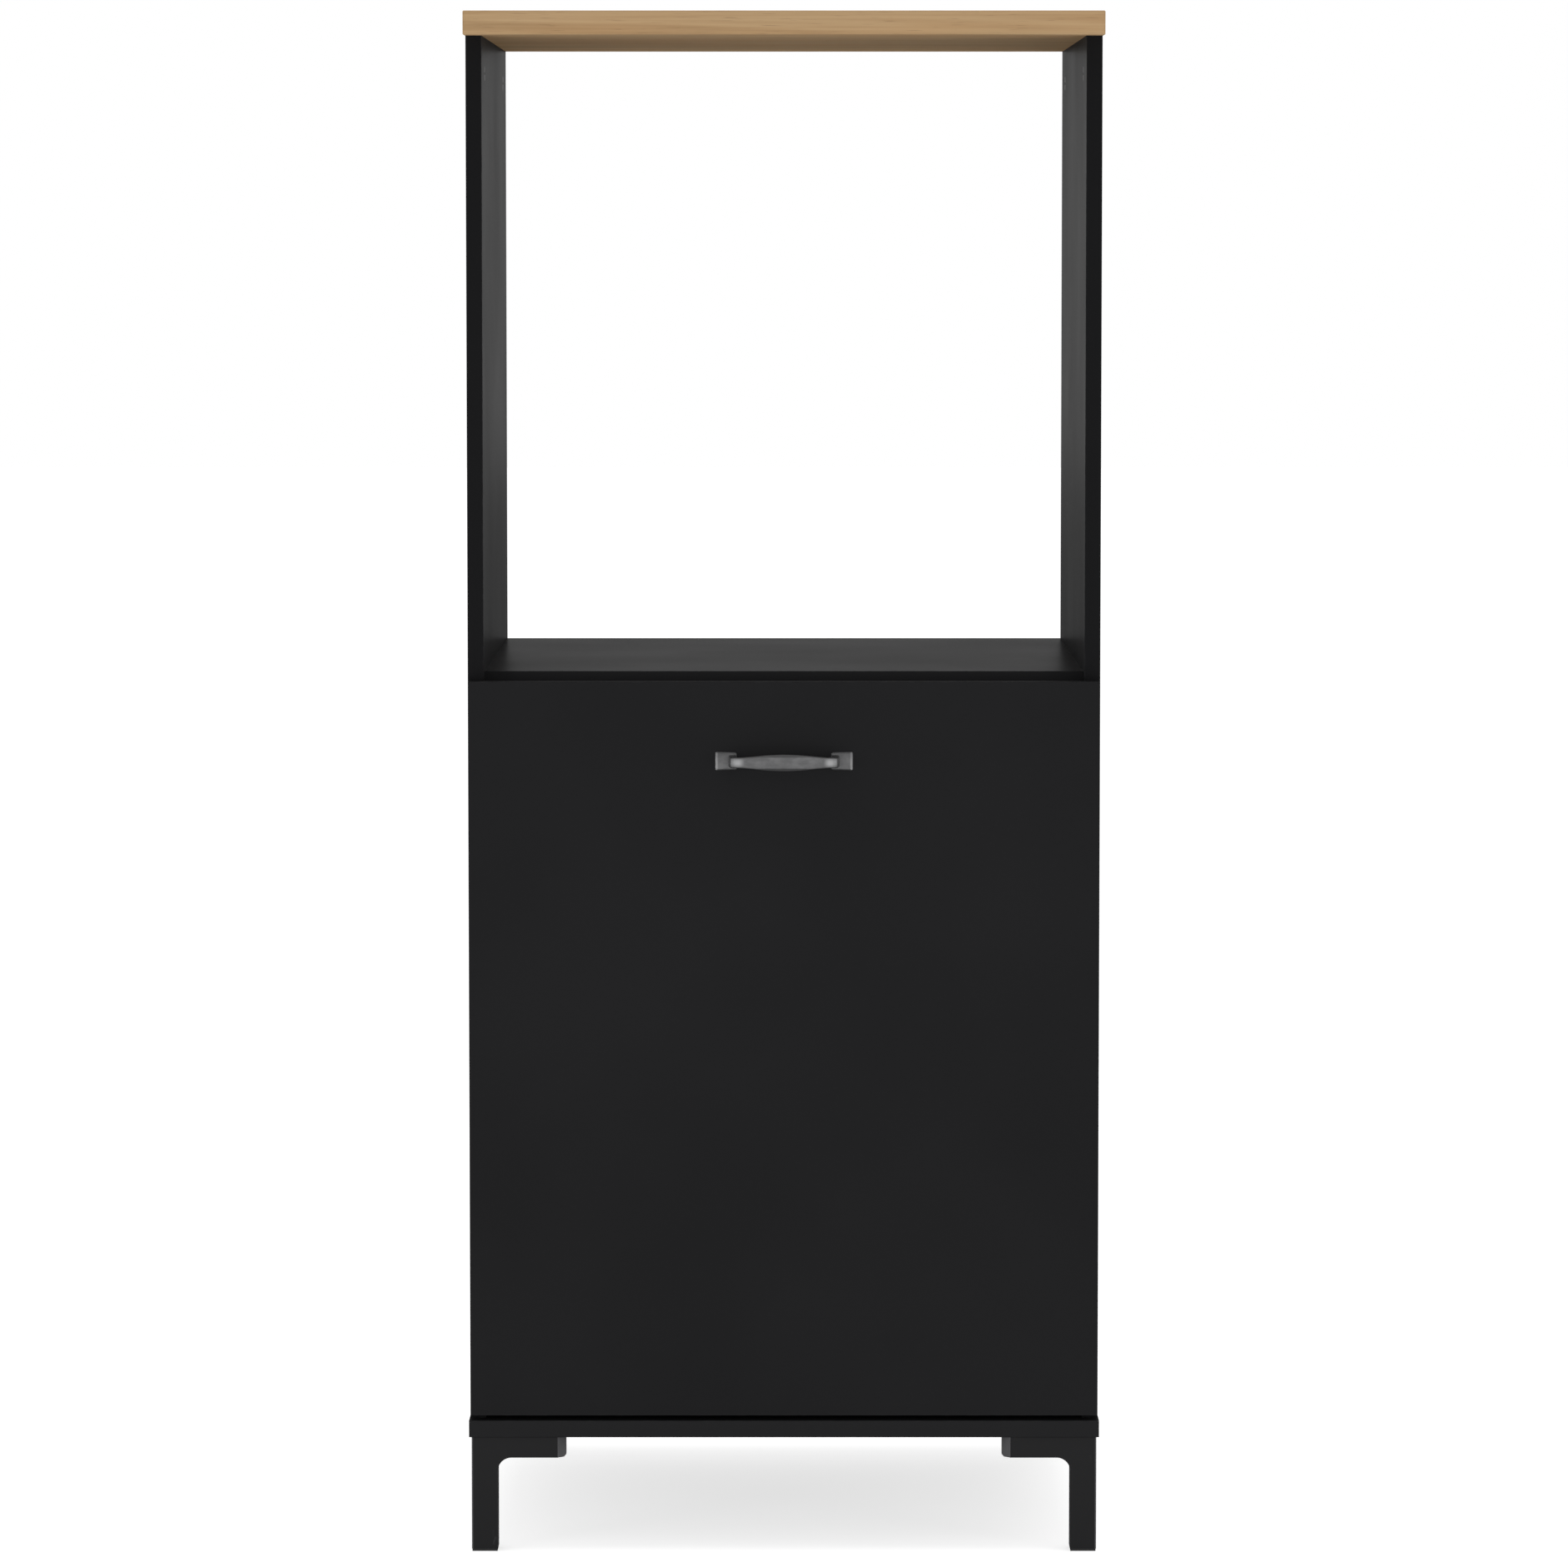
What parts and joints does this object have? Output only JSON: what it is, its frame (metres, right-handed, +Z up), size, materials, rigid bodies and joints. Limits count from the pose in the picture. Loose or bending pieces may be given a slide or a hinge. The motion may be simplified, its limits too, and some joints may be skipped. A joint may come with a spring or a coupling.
{
  "type": "oven housing cabinet",
  "caption": "Tall kitchen cabinet with an open niche for a built-in oven above a deep pull-out front, on short corner legs under an oak worktop.",
  "frame": {"origin": "on the floor, under the middle of the cabinet's outline", "axes": "+X to the right seen from the front, +Y to the back, +Z up; the front faces -Y"},
  "size_m": [0.6, 0.6036, 1.46],
  "materials": {
    "oak_worktop": "matt oak, grain along the width",
    "black_board": "matt black coated board",
    "box_board": "matt dark grey coated board",
    "hardboard": "black lacquer inside, bare hardboard behind",
    "beech": "ribbed beech dowel",
    "black_enamel": "satin black coated casting",
    "dark_nickel": "satin dark nickel",
    "zinc_plated": "bright zinc plated steel",
    "black_plastic": "matt black",
    "clear_plastic": "milky soft bumper"
  },
  "bodies": {
    "cabinet": {"worktop": "oak_worktop", "side_panel_left": "black_board", "side_panel_right": "black_board", "oven_shelf": "black_board", "base_board": "black_board", "back_panel": "hardboard", "leg_front_left": "black_enamel", "leg_front_right": "black_enamel", "leg_rear_left": "black_enamel", "leg_rear_right": "black_enamel", "leg_glides": "black_plastic", "leg_screws": "zinc_plated", "base_screws": "zinc_plated", "cam_locks": "black_enamel", "cam_bolts": "zinc_plated", "wood_dowels": "beech", "cabinet_runner_lower_left": "zinc_plated", "cabinet_runner_lower_right": "zinc_plated", "cabinet_runner_upper_left": "zinc_plated", "cabinet_runner_upper_right": "zinc_plated", "cabinet_runner_screws": "zinc_plated"},
    "pull_out": {"front_panel": "black_board", "handle": "dark_nickel", "handle_screws": "zinc_plated", "front_bumpers": "clear_plastic", "lower_box_side_left": "box_board", "lower_box_side_right": "box_board", "lower_box_inner_front": "box_board", "lower_box_back": "box_board", "lower_box_bottom": "box_board", "upper_box_side_left": "box_board", "upper_box_side_right": "box_board", "upper_box_inner_front": "box_board", "upper_box_back": "box_board", "upper_box_bottom": "box_board", "front_screws": "zinc_plated", "drawer_runner_lower_left": "zinc_plated", "drawer_runner_lower_right": "zinc_plated", "drawer_runner_upper_left": "zinc_plated", "drawer_runner_upper_right": "zinc_plated", "drawer_runner_screws": "zinc_plated"},
    "middle_runners": {"middle_runner_lower_left": "zinc_plated", "middle_runner_lower_right": "zinc_plated", "middle_runner_upper_left": "zinc_plated", "middle_runner_upper_right": "zinc_plated"},
    "outer_ball_cages": {"outer_ball_cages": "zinc_plated"},
    "inner_ball_cages": {"inner_ball_cages": "zinc_plated"}
  },
  "joints": [
    {"name": "pull_out_slide", "type": "slide", "parent": "cabinet", "child": "pull_out", "axis": [0, -1, 0], "range_m": [0, 0.5]},
    {"name": "middle_runner_slide", "type": "slide", "parent": "cabinet", "child": "middle_runners", "axis": [0, -1, 0], "range_m": [0, 0.25]},
    {"name": "outer_cage_slide", "type": "slide", "parent": "cabinet", "child": "outer_ball_cages", "axis": [0, -1, 0], "range_m": [0, 0.125]},
    {"name": "inner_cage_slide", "type": "slide", "parent": "cabinet", "child": "inner_ball_cages", "axis": [0, -1, 0], "range_m": [0, 0.375]}
  ],
  "couplings": [
    {"joint": "middle_runner_slide", "follows": "pull_out_slide", "ratio": 0.5},
    {"joint": "outer_cage_slide", "follows": "pull_out_slide", "ratio": 0.25},
    {"joint": "inner_cage_slide", "follows": "pull_out_slide", "ratio": 0.75}
  ]
}
